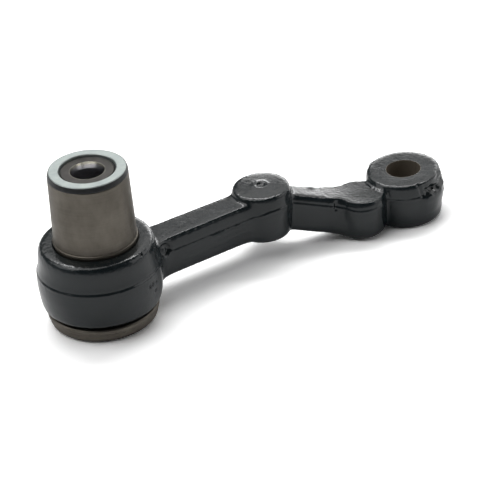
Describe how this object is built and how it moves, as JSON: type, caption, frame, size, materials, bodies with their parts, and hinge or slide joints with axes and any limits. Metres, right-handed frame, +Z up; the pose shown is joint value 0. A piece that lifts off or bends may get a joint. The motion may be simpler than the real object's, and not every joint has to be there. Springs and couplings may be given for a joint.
{
  "type": "idler arm",
  "caption": "Forged steering idler arm with a flanged pivot sleeve, sealed bushed pivot, stepped arm and a tapered stud hole.",
  "frame": {"origin": "on the pivot axis, in the plane that the lower thrust washer, the flange, the shoulder lobe and the stud end rest on", "axes": "+Z up the pivot axis, +X towards the centre of the tapered stud hole, +Y to the far side in the picture"},
  "size_m": [0.2151, 0.0598, 0.0805],
  "materials": {
    "painted_forging": "semi-gloss black paint over a forged skin",
    "bare_steel": "oiled bare turned steel",
    "bearing_bronze": "plain bearing bronze",
    "dark_steel": "phosphated steel with a bright lead-in",
    "seal_rubber": "moulded black rubber",
    "zinc_washer": "pale zinc plate"
  },
  "bodies": {
    "pivot": {"inner_sleeve": "dark_steel", "upper_thrust_washer": "zinc_washer", "lower_thrust_washer": "zinc_washer", "upper_seal_ring": "seal_rubber", "lower_seal_ring": "seal_rubber"},
    "arm": {"arm_forging": "painted_forging", "outer_housing": "bare_steel", "upper_bearing_bush": "bearing_bronze", "lower_bearing_bush": "bearing_bronze"}
  },
  "joints": [
    {"name": "idler_pivot", "type": "hinge", "parent": "pivot", "child": "arm", "pos_m": [0, 0, 0], "axis": [0, 0, 1], "range_deg": [-40, 40]}
  ]
}
